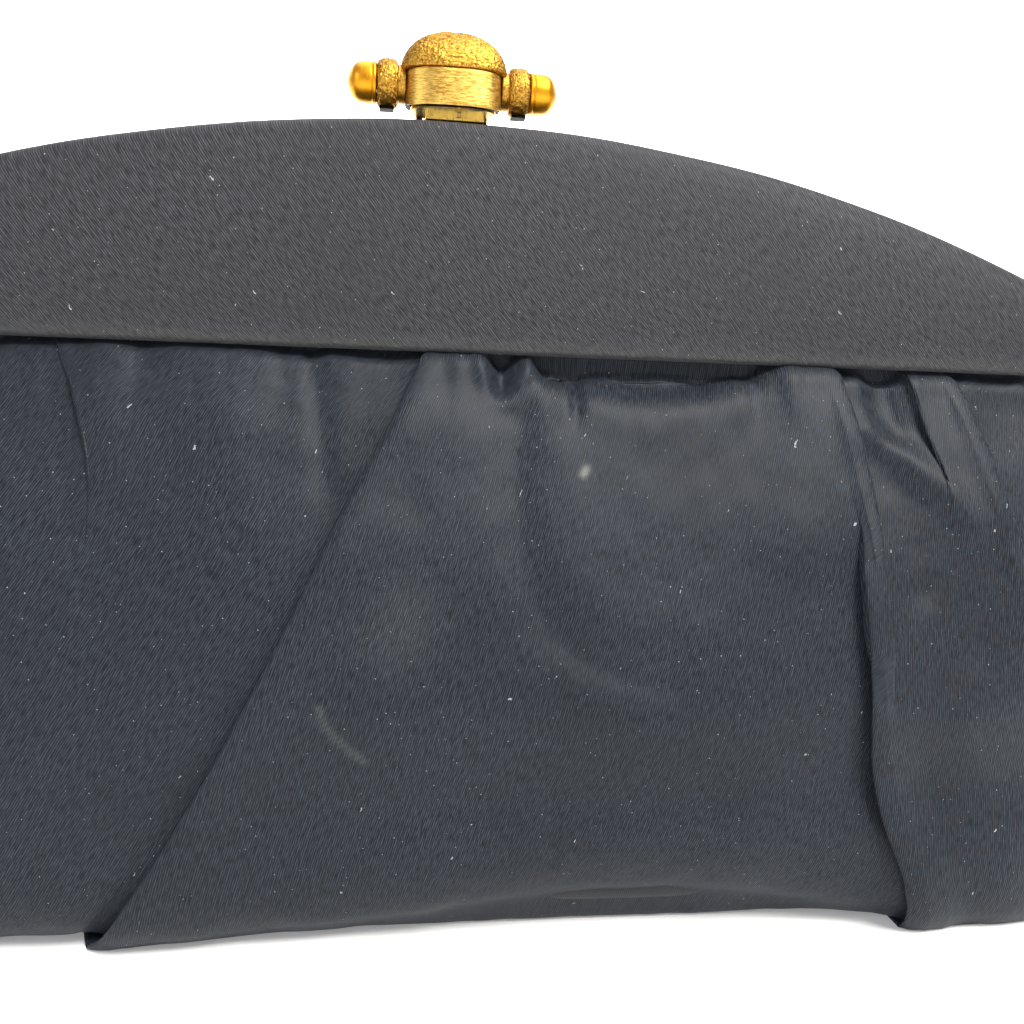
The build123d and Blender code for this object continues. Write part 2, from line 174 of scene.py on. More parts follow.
def satinMaterial(name, dark, light, cast, roughness, sheen, lint, ribShow, gloss):
    made, tree, shader = newMaterial(name)
    grain = addNode(tree, "ShaderNodeAttribute", {"attribute_name": "grain"}).outputs["Vector"]
    across, along = 1 / satin["ribSpacing"], 1 / satin["ribLength"]
    streaks = addNode(tree, "ShaderNodeTexNoise", {"Scale": 1.0, "Detail": 2.0, "Roughness": 0.6},
                      {"Vector": scaled(tree, grain, (along, across * 1.1, 1))}).outputs[0]
    wobble = addNode(tree, "ShaderNodeTexNoise", {"Scale": 1.0, "Detail": 1.0},
                     {"Vector": scaled(tree, grain, (0.12, 0.12, 1))}).outputs[0]
    q = addNode(tree, "ShaderNodeSeparateXYZ", {}, {0: grain}).outputs[1]
    phase = mathNode(tree, "ADD", mathNode(tree, "MULTIPLY", q, 2 * math.pi * across),
                     mathNode(tree, "MULTIPLY", wobble, 3.0))
    ribs = mathNode(tree, "ADD", mathNode(tree, "MULTIPLY", mathNode(tree, "SINE", phase), 0.5), 0.5)
    broken = mathNode(tree, "ADD", mathNode(tree, "MULTIPLY", ramp(tree, streaks, 0.3, 0.7), 0.8), 0.2)
    weave = mathNode(tree, "ADD", mathNode(tree, "MULTIPLY", mathNode(tree, "MULTIPLY", ribs, broken), 0.8),
                     mathNode(tree, "MULTIPLY", ramp(tree, streaks, 0.3, 0.7), 0.2))
    cloud = addNode(tree, "ShaderNodeTexNoise", {"Scale": 1.0, "Detail": 3.0, "Roughness": 0.55},
                    {"Vector": scaled(tree, grain, (0.035, 0.035, 1))}).outputs[0]
    base = mixColours(tree, mathNode(tree, "MULTIPLY", weave, ribShow), toLinear(dark), toLinear(light))
    tinted = mathNode(tree, "MULTIPLY", ramp(tree, cloud, 0.42, 0.75), 0.35)
    base = mixColours(tree, tinted, base, toLinear(cast))
    specks = addNode(tree, "ShaderNodeTexVoronoi", {"Scale": 1.0, "Randomness": 1.0},
                     {"Vector": scaled(tree, grain, (1 / satin["lintSpacing"],) * 2 + (1,))})
    chosen = addNode(tree, "ShaderNodeSeparateColor", {}, {0: specks.outputs["Color"]})
    size = mathNode(tree, "MULTIPLY", chosen.outputs[1], satin["lintSize"] * 1.6)
    near = mathNode(tree, "LESS_THAN", specks.outputs["Distance"], size)
    kept = mathNode(tree, "MULTIPLY", near, mathNode(tree, "GREATER_THAN", chosen.outputs[0], 1 - lint))
    fibreVector = addNode(tree, "ShaderNodeTexNoise", {"Scale": 1.0, "Detail": 2.0},
                          {"Vector": scaled(tree, grain, (0.9, 0.9, 1))}).outputs["Color"]
    bentGrain = addNode(tree, "ShaderNodeVectorMath", {"operation": "ADD"},
                        {0: scaled(tree, grain, (0.18, 0.42, 1)),
                         1: scaled(tree, fibreVector, (0.5, 0.5, 0))})
    fibres = addNode(tree, "ShaderNodeTexVoronoi", {"Scale": 0.8, "Randomness": 1.0},
                     {"Vector": bentGrain.outputs[0]})
    pick = addNode(tree, "ShaderNodeSeparateColor", {}, {0: fibres.outputs["Color"]})
    thin = mathNode(tree, "LESS_THAN", fibres.outputs["Distance"], satin["fibreSize"])
    thread = mathNode(tree, "MULTIPLY", thin,
                      mathNode(tree, "GREATER_THAN", pick.outputs[0], 1 - lint * 0.7))
    lintMask = mathNode(tree, "MULTIPLY", mathNode(tree, "MAXIMUM", kept, thread), satin["lintShow"])
    base = mixColours(tree, lintMask, base, toLinear(satin["lintColour"]))
    # The marks attribute holds real rub marks and a scratch, and on the covers also a painted highlight
    # along the lower edge.
    marks = addNode(tree, "ShaderNodeAttribute", {"attribute_name": "marks"}).outputs["Fac"]
    base = mixColours(tree, mathNode(tree, "MULTIPLY", marks, 0.8), base, toLinear(satin["rubAndHighlightColour"]))
    bump = addNode(tree, "ShaderNodeBump", {"Strength": 0.55, "Distance": 0.00005}, {"Height": weave})
    tree.links.new(base, shader.inputs["Base Color"])
    tree.links.new(bump.outputs[0], shader.inputs["Normal"])
    tree.links.new(mathNode(tree, "ADD", mathNode(tree, "MULTIPLY", streaks, 0.16), roughness - 0.08),
                   shader.inputs["Roughness"])
    shader.inputs["Sheen Weight"].default_value = sheen
    shader.inputs["Sheen Roughness"].default_value = 0.4
    shader.inputs["Sheen Tint"].default_value = toLinear(satin["sheenColour"])
    shader.inputs["Specular IOR Level"].default_value = gloss
    return made

# Charcoal satin lies tight over the boards, navy satin is gathered, and the black lining is plainer.
wovenSatinCover = satinMaterial("satin_woven_charcoal", "#070709", "#505056", "#28282C",
                                0.58, 0.07, 0.85, 1.0, 0.22)
wovenSatinPouch = satinMaterial("satin_woven_navy", "#040609", "#3B414C", "#141619", 0.50,
                                0.07, 0.88, 1.0, 0.17)
liningTaffeta = satinMaterial("taffeta_woven_black", "#15171C", "#2A2D34", "#191A1C", 0.42,
                              0.08, 0.08, 0.6, 0.2)

def plainMaterial(name, dark, light, scale, detail, roughness, bumpHeight, stretch=(1, 1, 1)):
    made, tree, shader = newMaterial(name)
    where = addNode(tree, "ShaderNodeTexCoord").outputs["Object"]
    pattern = addNode(tree, "ShaderNodeTexNoise", {"Scale": scale, "Detail": detail, "Roughness": 0.65},
                      {"Vector": scaled(tree, where, stretch)}).outputs[0]
    tree.links.new(mixColours(tree, ramp(tree, pattern, 0.3, 0.7), toLinear(dark), toLinear(light)),
                   shader.inputs["Base Color"])
    bump = addNode(tree, "ShaderNodeBump", {"Strength": 0.5, "Distance": bumpHeight * mm},
                   {"Height": pattern})
    tree.links.new(bump.outputs[0], shader.inputs["Normal"])
    shader.inputs["Roughness"].default_value = roughness
    return made

# Pressed board: grey-brown pulp with fine flecks, dull. Fibres about 0.4 mm.
pressedBoard = plainMaterial("board_pressed_pulp", "#8A7358", "#B29A78", 1 / (0.4 * mm), 3, 0.85, 0.05)
# Needled felt: off-white, soft and hairy, drawn with 0.8 mm tufts.
needledFelt = plainMaterial("felt_needled_wool", "#B9B2A4", "#DAD4C8", 1 / (0.8 * mm), 4, 0.95, 0.2)
# Twisted kraft paper: brown, with a lay of about 1 mm round the cord.
twistedPaper = plainMaterial("kraft_paper_twisted", "#8F7350", "#C2A67C", 1 / (1.0 * mm), 2,
                             0.8, 0.1, (0.4, 1, 1))
# Grosgrain ribbon: ribbed across its width, 0.5 mm ribs, near black.
grosgrainRibbon = plainMaterial("grosgrain_ribbon_woven", "#0E0F12", "#2B2C31",
                                1 / (0.5 * mm), 1, 0.6, 0.12, (1, 0.05, 0.05))

def giltMaterial(name, colour, wornAndShade, roughness, scale, stretch, bumpHeight,
                 wear=0.35, shade=0.25, edge=(0.6, 0.3)):
    made, tree, shader = newMaterial(name)  # thin gold over brass: warm, coloured reflections
    where = addNode(tree, "ShaderNodeTexCoord").outputs["Object"]
    lines = addNode(tree, "ShaderNodeTexNoise", {"Scale": scale, "Detail": 3.0, "Roughness": 0.6},
                    {"Vector": scaled(tree, where, stretch)}).outputs[0]
    patches = addNode(tree, "ShaderNodeTexNoise", {"Scale": 260.0, "Detail": 3.0},
                      {"Vector": where}).outputs[0]
    tone = mixColours(tree, mathNode(tree, "MULTIPLY", ramp(tree, patches, 0.48, 0.74), wear),
                      toLinear(colour), toLinear(wornAndShade))
    # Painted shade: the low parts of the fine lines are darkened towards the second, darker colour.
    hollows = mathNode(tree, "MULTIPLY", ramp(tree, lines, *edge), shade)
    tone = mixColours(tree, hollows, tone, toLinear(wornAndShade))
    tree.links.new(tone, shader.inputs["Base Color"])
    tree.links.new(mathNode(tree, "ADD", mathNode(tree, "MULTIPLY", lines, 0.22), roughness - 0.11),
                   shader.inputs["Roughness"])
    bump = addNode(tree, "ShaderNodeBump", {"Strength": 0.6, "Distance": bumpHeight * mm},
                   {"Height": lines})
    tree.links.new(bump.outputs[0], shader.inputs["Normal"])
    shader.inputs["Metallic"].default_value = 1.0
    return made

# Brushed gilt: scratches run round the band, 0.2 mm apart, so its highlight spreads sideways.
giltBrushed = giltMaterial("gilt_brushed_band", "#E3BE64", "#A97424", 0.42, 1 / (0.20 * mm),
                           (0.20, 0.20, 1), 0.10, 0.25, 0.75, (0.58, 0.38))
# Stippled casting: the grain itself is in the mesh, and this adds sparkle and painted shade in the hollows.
giltStippled = giltMaterial("gilt_stippled_casting", "#C89A42", "#7A5012", 0.46,
                            1 / (0.30 * mm), (1, 1, 1), 0.12, 0.25, 0.85, (0.55, 0.40))
# Turned gilt: deep orange-gold with a soft shine and faint lathe lines.
giltTurned = giltMaterial("gilt_turned", "#E09C26", "#B87210", 0.42, 1 / (0.2 * mm),
                          (1, 0.1, 0.1), 0.02, 0.4, 0.3)
# Polished gilt: pale, bright stampings with a few hairlines.
giltPolished = giltMaterial("gilt_polished_stamping", "#FFD56A", "#D9962A", 0.30,
                            1 / (0.3 * mm), (1, 1, 0.2), 0.01, 0.3, 0.2)
# Rolled gilt: satin strip metal of the frame halves.
giltRolled = giltMaterial("gilt_rolled_strip", "#D9AE55", "#8F6A2C", 0.32, 1 / (0.25 * mm),
                          (0.1, 1, 1), 0.02)
# Dark brass: near black and dull, painted shade for the band's underside, the bracket and the feet in
# shadow.
shadedDarkBrass = giltMaterial("brass_dark_painted_shade", "#1E1810", "#0C0A07", 0.62, 1 / (0.3 * mm), (1, 1, 1), 0.03)
# Drawn spring steel: grey and bright, with fine lines along the wire.
springSteel = giltMaterial("steel_spring_wire", "#9A9CA0", "#6A6C70", 0.25, 1 / (0.2 * mm),
                           (1, 0.2, 0.2), 0.01)
print("materials made")

pouch = {
    "profile": [(0, 0.15), (7, 0.15), (12.3, 0.3), (16.2, 1.7), (19.3, 5.6), (21.2, 12.5), (21.9, 24),
                (21.3, 36), (19.3, 49), (16.3, 61), (12.6, 71.5), (9.9, 78.5), (8.1, 83), (6.9, 86),
                (5.0, 87.3), (3.7, 88.6), (3.45, 91)],  # (depth, height) from the base seam to the frame
    "halfWidth": [(0, 117), (5, 122.5), (14, 126.8), (30, 128.5), (50, 127.8), (68, 124.6), (76, 121.6),
                  (82, 118.5), (92, 117)],  # (height, half width)
    "sideSeam": 110.0,
    "rows": 190,
    "seamGroove": 0.5,
    "restLift": 4.6,  # how far the middle of the base is held up between the two ends
    "liftAt": 28.0,
    "neckDepth": 3.75,  # the cloth stays outside the strip that carries it into the frame
    "sag": 4.6,  # how far the lower edge bulges out beyond the arch
    "sagFrom": (52, 86),
    "thickness": 0.4,
}
turnDown = 7.5  # below this height the profile coordinate runs along the cloth instead of up

def pouchProfile(rows):
    line = throughPoints(pouch["profile"], rows)
    step = np.r_[0, np.cumsum(np.linalg.norm(np.diff(line, axis=0), axis=1))]
    corner = np.interp(turnDown, line[:, 1][line[:, 0] > 10], step[line[:, 0] > 10])
    level = np.where(step < corner, turnDown - (corner - step), line[:, 1])
    tangent = np.gradient(line, axis=0)
    normal = np.column_stack([tangent[:, 1], -tangent[:, 0]])
    normal /= np.linalg.norm(normal, axis=1)[:, None]
    return line[:, 0], line[:, 1], level, normal

def widthAt(z):
    stations = np.array(pouch["halfWidth"], float)
    return np.interp(z, stations[:, 0], stations[:, 1])

def sideFactor(x, halfWidth):
    return (1 - np.clip(np.abs(x) / halfWidth, 0, 0.995) ** 6) ** (1 / 2.2)

def baseLift(x, z, depth):
    arch = np.exp(-((x - pouch["liftAt"]) / 34) ** 2) * pouch["restLift"]
    return arch * smoothRange(z, 26, 4) * smoothRange(depth, 12.5, 17)

# Knife folds: each has its line as (x, level) points, the side that lies on top, how high the
# folded edge stands, and between which levels it fades away. Soft folds only dent or raise the cloth.
frontFolds = {
    "knives": [
        {"line": [(-80, 90), (-84, 70), (-88, 45), (-90, 20), (-92, -30)],
         "over": -1, "lift": 1.5, "decay": 10, "fade": (10, 45)},
        {"line": [(-59.5, 90), (-54, 76), (-51.6, 65), (-51.8, 52), (-53.5, 46), (-58, 20), (-68, -30)],
         "over": 1, "lift": 0.9, "decay": 9, "fade": (44, 74)},
        {"line": [(-2, 90), (-7.5, 77), (-14.5, 64), (-25, 42), (-37, 20), (-47.5, 4), (-52, -3),
                  (-60, -30)],
         "over": 1, "lift": 2.3, "decay": 16, "fade": (-30, -28)},
        {"line": [(57, 90), (60.4, 76), (62.6, 66), (64.3, 56), (64.6, 46), (64.7, 36), (65, 28),
                  (67, 18), (71, 8), (72.6, 0), (74, -30)],
         "over": 1, "lift": 1.7, "decay": 8, "fade": (66, 50), "at": 62.0},
        {"line": [(61.4, 90), (64.2, 76), (65.2, 66), (65.2, 56), (65.2, 46), (66.6, 38),
                  (70, 28), (73, 18), (77, 8), (79, 0), (80, -30)],
         "over": -1, "lift": 1.7, "decay": 7, "fade": (34, 48), "at": 68.2},
        {"line": [(74.3, 90), (77, 78), (78.4, 70), (80, 60), (83, 40), (88, -30)],
         "over": 1, "lift": 0.55, "decay": 5, "fade": (62, 80)},
        {"line": [(81, 90), (85.4, 77), (87.6, 67.6), (90.6, 58), (94, 48), (98, 34), (104, -30)],
         "over": -1, "lift": 2.0, "decay": 8, "fade": (24, 50)},
    ],
    "groups": [(0, 2, 60), (3, 3, 73), (5, 7, 84)],  # first and last section, and the way its ribs run
    "strip": (4, 57, 1, 2),  # this section's ribs follow one group above the level, the other below
    "soft": [  # line, width, height, and the levels where it fades out and is full
        ([(-20.8, 89), (-19, 76), (-18, 62)], 1.3, -1.1, (56, 84)),
        ([(-16.5, 89), (-15, 78), (-15.5, 66)], 4.5, 0.3, (58, 84)),
        ([(8.2, 89), (8.4, 85), (8.0, 81)], 1.7, -2.2, (79.5, 84)),
        ([(4.2, 88), (5.4, 84), (7.4, 80)], 1.3, 0.7, (78, 85)),
        ([(12.5, 88), (11.5, 84.5), (9.4, 80.5)], 1.3, 0.9, (78, 85)),
        ([(14.2, 88), (15.2, 85.6), (17.2, 85.2)], 1.3, -1.3, (82, 86)),
        ([(19.8, 88), (19.7, 82), (19.2, 76)], 0.8, -0.8, (75, 82)),
        ([(18, 87.5), (25, 86), (33, 85.4), (41, 86.6), (47, 88)], 3.4, -2.6, (76, 85)),
        ([(19, 80), (27, 78.6), (36, 79.6), (45, 83.6), (50, 86)], 4.0, 0.5, (60, 70)),
        ([(10, 77), (10.2, 62), (12.4, 53), (17, 46), (25, 41.5), (34, 39.5)], 2.5, -0.7, (30, 31)),
        ([(16.5, 72), (17, 62), (19.5, 54), (26, 48), (36, 45)], 5.0, 0.55, (30, 31)),
        ([(2, 74), (2, 60), (5, 48), (12, 40)], 5.5, 0.45, (30, 31)),
        ([(-10, 35), (8, 35), (30, 34), (50, 36), (60, 38)], 6.5, 0.8, (10, 11)),
        ([(-30, 23), (-8, 22), (15, 21.5), (38, 23), (60, 26)], 5.5, -0.9, (2, 3)),
        ([(-40, 11), (-10, 12), (15, 12), (40, 12), (62, 14)], 6.0, 0.5, (2, 3)),
        ([(15.0, 23), (15.8, 17), (15.9, 10)], 1.1, -0.5, (4, 12)),
        ([(71, 88), (71.5, 82), (73, 78)], 3.5, -1.8, (70, 80)),
        ([(67.5, 78), (72, 74.5), (79, 68), (83, 63)], 2.2, 1.0, (50, 51)),
        ([(69, 73), (72, 64), (73, 54)], 3.4, -0.9, (40, 41)),
        ([(86, 60), (82, 48), (77, 40)], 3.6, -0.8, (20, 21)),
        ([(70, 36), (75, 35), (84, 34)], 6.0, 0.8, (10, 11)),
        ([(74, 26), (78, 14), (82, 2)], 4.0, -0.6, (-20, -19)),
        ([(100, 88), (102, 74), (103, 58)], 2.0, -0.9, (50, 76)),
        ([(-70, 88), (-71, 74), (-70, 60)], 2.2, -0.8, (50, 76)),
        ([(-101, 88), (-103, 70), (-104, 50)], 2.2, -1.0, (40, 70)),
        ([(-34, 88), (-33, 80), (-31, 70)], 5.0, 0.5, (60, 80)),
        ([(55, 88), (56, 74), (54, 60)], 5.0, 0.6, (40, 60)),
    ],
    "chalk": [([(20.2, 69.8), (20.6, 70.5)], 0.6, 0.6),  # pale rub marks: (line, width, strength)
              ([(-18.2, 36.6), (-17.6, 34.6), (-15.4, 32), (-11.7, 28.9)], 0.5, 0.13),
              ([(-7, 47), (-6, 50)], 5.0, 0.05)],
}
rearFolds = {
    "knives": [
        {"line": [(-64, 90), (-68, 70), (-74, 45), (-80, 20), (-88, -30)],
         "over": -1, "lift": 1.6, "decay": 10, "fade": (-30, -28)},
        {"line": [(-22, 90), (-27, 72), (-36, 46), (-46, 20), (-56, -30)],
         "over": -1, "lift": 2.0, "decay": 14, "fade": (-30, -28)},
        {"line": [(16, 90), (22, 72), (30, 46), (39, 20), (50, -30)],
         "over": 1, "lift": 2.0, "decay": 14, "fade": (-30, -28)},
        {"line": [(60, 90), (66, 70), (72, 45), (78, 20), (86, -30)],
         "over": 1, "lift": 1.5, "decay": 10, "fade": (6, 30)},
    ],
    "groups": [(0, 0, 118), (1, 1, 112), (2, 2, 90), (3, 4, 66)],
    "soft": [
        ([(-95, 89), (-98, 74), (-99, 60)], 2.0, -1.0, (50, 78)),
        ([(-44, 89), (-46, 78), (-50, 66)], 1.6, -1.0, (60, 82)),
        ([(-8, 89), (-8, 80), (-9, 70)], 1.3, -1.1, (66, 84)),
        ([(4, 89), (5, 82), (6, 72)], 1.4, -0.9, (66, 84)),
        ([(36, 89), (39, 76), (43, 62)], 1.8, -1.0, (56, 80)),
        ([(88, 89), (92, 74), (95, 60)], 2.2, -1.0, (50, 78)),
        ([(-20, 40), (0, 37), (22, 38)], 7.0, 0.8, (10, 11)),
        ([(-40, 22), (0, 20), (34, 23)], 6.0, -0.8, (2, 3)),
    ],
    "chalk": [],
}
foldBand = 2.8  # half width of cloth, along the cloth, that makes one folded edge
# A knife fold's section: cloth position, sideways shift of that cloth, and height as a share of the lift.
foldSection = np.array([(-1, 0, 0), (-0.7, 1.5, 0.02), (-0.45, 2.7, 0.10), (-0.22, 2.6, 0.30),
                        (0.0, 1.0, 0.42), (0.22, -0.9, 0.55), (0.38, -1.75, 0.78), (0.55, -1.55, 0.97),
                        (0.78, -0.6, 1.03), (1, 0, 1)])
planLevel = 30  # a fold's place among the columns is where it crosses this level
columnStep = 0.62  # between folds, in millimetres of cloth

def foldPlace(knife):
    levels = np.array(knife["line"])[::-1]
    return knife.get("at", float(np.interp(planLevel, levels[:, 1], levels[:, 0])))

def columnPlan(knives, edge):
    marks = [-edge] + [foldPlace(knife) for knife in knives] + [edge]
    plan = []  # reference positions: close together at every folded edge
    for i, (a, b) in enumerate(zip(marks, marks[1:])):
        fineLeft, fineRight = i > 0, i < len(marks) - 2
        start, stop = a + (foldBand if fineLeft else 0), b - (foldBand if fineRight else 0)
        if fineLeft:
            plan.append(np.linspace(a, start, 11)[:-1])
        plan.append(np.linspace(start, stop, max(4, int((stop - start) / columnStep)))[:-1])
        if fineRight:
            plan.append(np.linspace(stop, b, 11)[:-1])
    return np.array(marks), np.r_[np.concatenate(plan), edge]

backing = {"foot": 4.0, "top": 77.0, "inset": 0.55, "narrow": 0.985, "thickness": 0.7}

def pleatedPanel(name, side, folds, cadNode):
    depth, z, level, normal = pouchProfile(pouch["rows"])
    edge = pouch["sideSeam"]
    lines = []
    for knife in folds["knives"]:
        path = throughPoints(knife["line"], 200)[::-1]  # levels rising, for interpolation
        lines.append(np.interp(level, path[:, 1], path[:, 0]))
    marks, plan = columnPlan(folds["knives"], edge)
    rows, cols = len(level), len(plan)
    places = np.vstack([np.full(rows, -edge)] + lines + [np.full(rows, edge)])
    x = np.array([np.interp(plan, marks, places[:, r]) for r in range(rows)])
    flatX = x.copy()
    h = np.repeat(level[:, None], cols, axis=1)
    out = np.zeros_like(x)
    shift = np.zeros_like(x)
    for knife, mark, line in zip(folds["knives"], marks[1:-1], lines):
        s = (plan - mark)[None, :] * knife["over"] + 0 * x
        lift = knife["lift"] * smoothRange(h, *knife["fade"]) * (0.6 + 0.4 * smoothRange(h, 88, 76))
        lift = lift * (1 + 0.12 * ripples(h, 0, 14, 40, 5))
        fullness = np.clip(lift / 1.2, 0, 1)
        t = np.clip(s / foldBand, -1, 1)
        sideways = np.interp(t, foldSection[:, 0], foldSection[:, 1]) * fullness
        height = np.interp(t, foldSection[:, 0], foldSection[:, 2])
        beyond = np.where(s > foldBand, np.exp(-(s - foldBand) / knife["decay"]), 1.0)
        under = np.where(s < -foldBand, np.exp((s + foldBand) / 4.5), 1.0) * (s < 0)
        out += lift * (height * beyond - 0.28 * under * (1 - height))
        shift += sideways * knife["over"]
    for line, width, rise, fade in folds["soft"]:
        path = throughPoints(line, 40)
        gap = np.full(x.shape, 1e9)
        for px, ph in path:
            gap = np.minimum(gap, (flatX - px) ** 2 + (h - ph) ** 2)
        out += rise * np.exp(-gap / width ** 2 / 1.3) * smoothRange(h, *fade)
    gathers = ripples(x, 0, 3.5, 9, 9) * smoothRange(h, 74, 86) * 0.22
    out += gathers + 0.16 * ripples(x, h, 12, 45, 16) + 0.05 * ripples(x, h, 5, 11, 16)
    out *= smoothRange(h, 89.2, 87.6) * smoothRange(h, -16, -6)
    out -= pouch["seamGroove"] * np.exp(-((np.abs(x) - edge) / 1.3) ** 2)
    shift *= smoothRange(h, 88.5, 86) * smoothRange(h, -22, -12)
    x = x + shift
    halfWidth = widthAt(z)[:, None]
    low = smoothRange(depth, 11, 16) * smoothRange(z, 26, 6)
    sag = low[:, None] * smoothRange(x, *pouch["sagFrom"]) * smoothRange(x, edge + 1, 97) * pouch["sag"]
    y = (depth[:, None] + sag) * sideFactor(x, halfWidth) + out * normal[:, 0][:, None]
    y = side * np.where(h > 78, np.maximum(y, pouch["neckDepth"]), y)
    height = z[:, None] - 0.45 * sag * smoothRange(z, 12, 2)[:, None] + out * normal[:, 1][:, None]
    height = height + baseLift(x, z[:, None], depth[:, None])
    height = np.maximum(height, 0.08)
    steps = np.sqrt(np.diff(x, axis=1) ** 2 + np.diff(y, axis=1) ** 2 + np.diff(height, axis=1) ** 2)
    cloth = np.concatenate([np.zeros((rows, 1)), np.cumsum(steps, axis=1)], axis=1)
    grain = np.zeros((rows, cols, 3))

    def laidOn(columns, group):
        first, last, angle = group
        anchor = int(np.argmin(np.abs(plan - (marks[first] + marks[last + 1]) / 2)))
        run = cloth[:, columns] - cloth[:, anchor:anchor + 1] + flatX[:, anchor:anchor + 1]
        turn = math.radians(angle)
        return np.stack([run * math.cos(turn) + h[:, columns] * math.sin(turn),
                         -run * math.sin(turn) + h[:, columns] * math.cos(turn), 0 * run], axis=-1)

    for group in folds["groups"]:
        part = (plan >= marks[group[0]] - 1e-6) & (plan <= marks[group[1] + 1] + 1e-6)
        grain[:, part] = laidOn(part, group)
    if "strip" in folds:
        section, switch, above, below = folds["strip"]
        part = (plan >= marks[section]) & (plan <= marks[section + 1])
        high = (h[:, part] > switch)[..., None]
        grain[:, part] = np.where(high, laidOn(part, folds["groups"][above]),
                                  laidOn(part, folds["groups"][below]))
    chalk = np.zeros_like(x)
    for line, size, strength in folds["chalk"]:
        for px, ph in throughPoints(line, 30):
            chalk = np.maximum(chalk, strength * np.exp(-(((flatX - px) ** 2 + (h - ph) ** 2) / size ** 2)))
    feltRows = (z > backing["foot"]) & (z < backing["top"])
    lowest = np.minimum(out, 0)
    for axis in (0, 1):
        for reach in (-8, -5, -2, 2, 5, 8):
            lowest = np.minimum(lowest, np.roll(lowest, reach, axis=axis))
    sunk = backing["inset"] - lowest[feltRows][:, ::3]
    feltX = flatX[feltRows][:, ::3] * backing["narrow"]
    feltZ, feltOut = z[feltRows][:, None], depth[feltRows][:, None]
    feltDepth = feltOut * sideFactor(feltX, halfWidth[feltRows]) - sunk * normal[feltRows, 0][:, None]
    feltHeight = feltZ - sunk * normal[feltRows, 1][:, None] + baseLift(feltX, feltZ, feltOut)
    felt = clothMesh(cadNode.replace("panel", "backing_felt"),
                     np.stack([feltX, side * feltDepth, feltHeight], axis=-1),
                     flip=side > 0, thickness=backing["thickness"])
    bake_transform(felt)
    dress(felt, needledFelt, cadNode.replace("panel", "backing"))
    points = np.stack([x, y, height], axis=-1)
    piece = clothMesh(name, points, grain=grain, marks=chalk, flip=side > 0, thickness=pouch["thickness"])
    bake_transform(piece)
    dress(piece, wovenSatinPouch, cadNode)
    return piece

frontPanel = pleatedPanel("front_panel_cloth", -1, frontFolds, "front_panel")
rearPanel = pleatedPanel("rear_panel_cloth", 1, rearFolds, "rear_panel")
print("pleated panels:", len(frontPanel.data.vertices), len(rearPanel.data.vertices), "points")

gussetShape = {
    "top": 85.6,  # at the middle fold, behind the hinge
    "wingTop": 86.6,  # at the side seam
    "tuck": 5.0,  # how far the middle is folded in
    "tuckWidth": 0.22,
    "pleat": 0.7,
    "puckers": 0.25,
    "columns": 46,
    "rows": 150,
}

def gussetHalf(end, side, cadNode):
    low = np.linspace(0, 1, gussetShape["rows"])[:, None]
    across = np.linspace(0, 1, gussetShape["columns"])[None, :]  # 0 at the middle fold, 1 at the side seam
    line = throughPoints(pouch["profile"], 400)
    line = line[(line[:, 1] <= gussetShape["wingTop"])]
    along = np.linspace(0, 1, len(line))
    dip = (line[:, 1] <= gussetShape["top"]).mean()
    reach = low * (dip + (1 - dip) * smoothRange(across, 0.3, 0.85) * smoothRange(low, 0.5, 1))
    depth = np.interp(reach, along, line[:, 0])
    z = np.interp(reach, along, line[:, 1])
    halfWidth = widthAt(z)
    share = sideFactor(pouch["sideSeam"], halfWidth) * np.sin(across * math.pi / 2)
    y = depth * share
    x = halfWidth * (1 - np.clip(np.abs(share), 0, 1) ** 2.2) ** (1 / 6)
    fold = gussetShape["tuck"] * smoothRange(z, 46, 80) * np.exp(-(across / gussetShape["tuckWidth"]) ** 2)
    pleat = gussetShape["pleat"] * np.exp(-((across - 0.5) / 0.08) ** 2) * smoothRange(z, 30, 70)
    rough = gussetShape["puckers"] * ripples(z + depth, across * 22, 9, 30, 14)
    seam = pouch["seamGroove"] * np.exp(-((1 - across) / 0.07) ** 2)
    x = x - (fold + pleat + rough * across * (1 - across) * 4) * (depth / 22) - seam
    points = np.stack([end * x, side * y, np.maximum(z, 0.08)], axis=-1)
    run, rise = across * 24 + 0 * z, z + depth
    grain = np.stack([rise * 0.87 + run * 0.5, run * 0.87 - rise * 0.5, 0 * run], axis=-1)
    name = f"{cadNode}_{'front' if side < 0 else 'rear'}_cloth"
    piece = clothMesh(name, points, grain=grain, flip=end * side > 0, thickness=pouch["thickness"])
    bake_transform(piece)
    dress(piece, wovenSatinPouch, cadNode)
    return piece

gussetCloths = [gussetHalf(end, side, cadNode)
                for end, cadNode in ((-1, "gusset_left"), (1, "gusset_right"))
                for side, frameBody in ((-1, "front_frame"), (1, "rear_frame"))]

cover = {
    "radius": 248.0,  # outside of the arch
    "cornerRadius": 10.0,
    "cornerAt": 117.0,
    "crown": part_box("front_cover_satin")[1].z / mm,
    "hem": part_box("front_cover_satin")[0].z / mm,
    "halfWidth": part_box("front_cover_satin")[1].x / mm,
    "face": 7.2,  # depth of the face from the middle plane
    "back": 4.25,  # depth where the rolled hem ends behind the face
    "bulge": 1.0,
    "topRound": 2.3,
    "hemRound": 0.75,
    "hemHighlight": 0.07,  # painted highlight: how pale the lower edge is painted, where its rolled rim catches the light
    "scratch": (58.8, 105.2, 2.6),  # middle and half height of a faint slanting scratch
    "columns": 420,
    "thickness": 0.35,
}

def archHeight(x):
    x = np.abs(x)
    centre = cover["crown"] - cover["radius"]
    cornerZ = centre + math.sqrt((cover["radius"] - cover["cornerRadius"]) ** 2 - cover["cornerAt"] ** 2)
    meet = cover["cornerAt"] * cover["radius"] / (cover["radius"] - cover["cornerRadius"])
    arch = centre + np.sqrt(cover["radius"] ** 2 - np.minimum(x, meet) ** 2)
    corner = cornerZ + np.sqrt(np.maximum(cover["cornerRadius"] ** 2 - (x - cover["cornerAt"]) ** 2, 0))
    return np.where(x < meet, arch, corner)

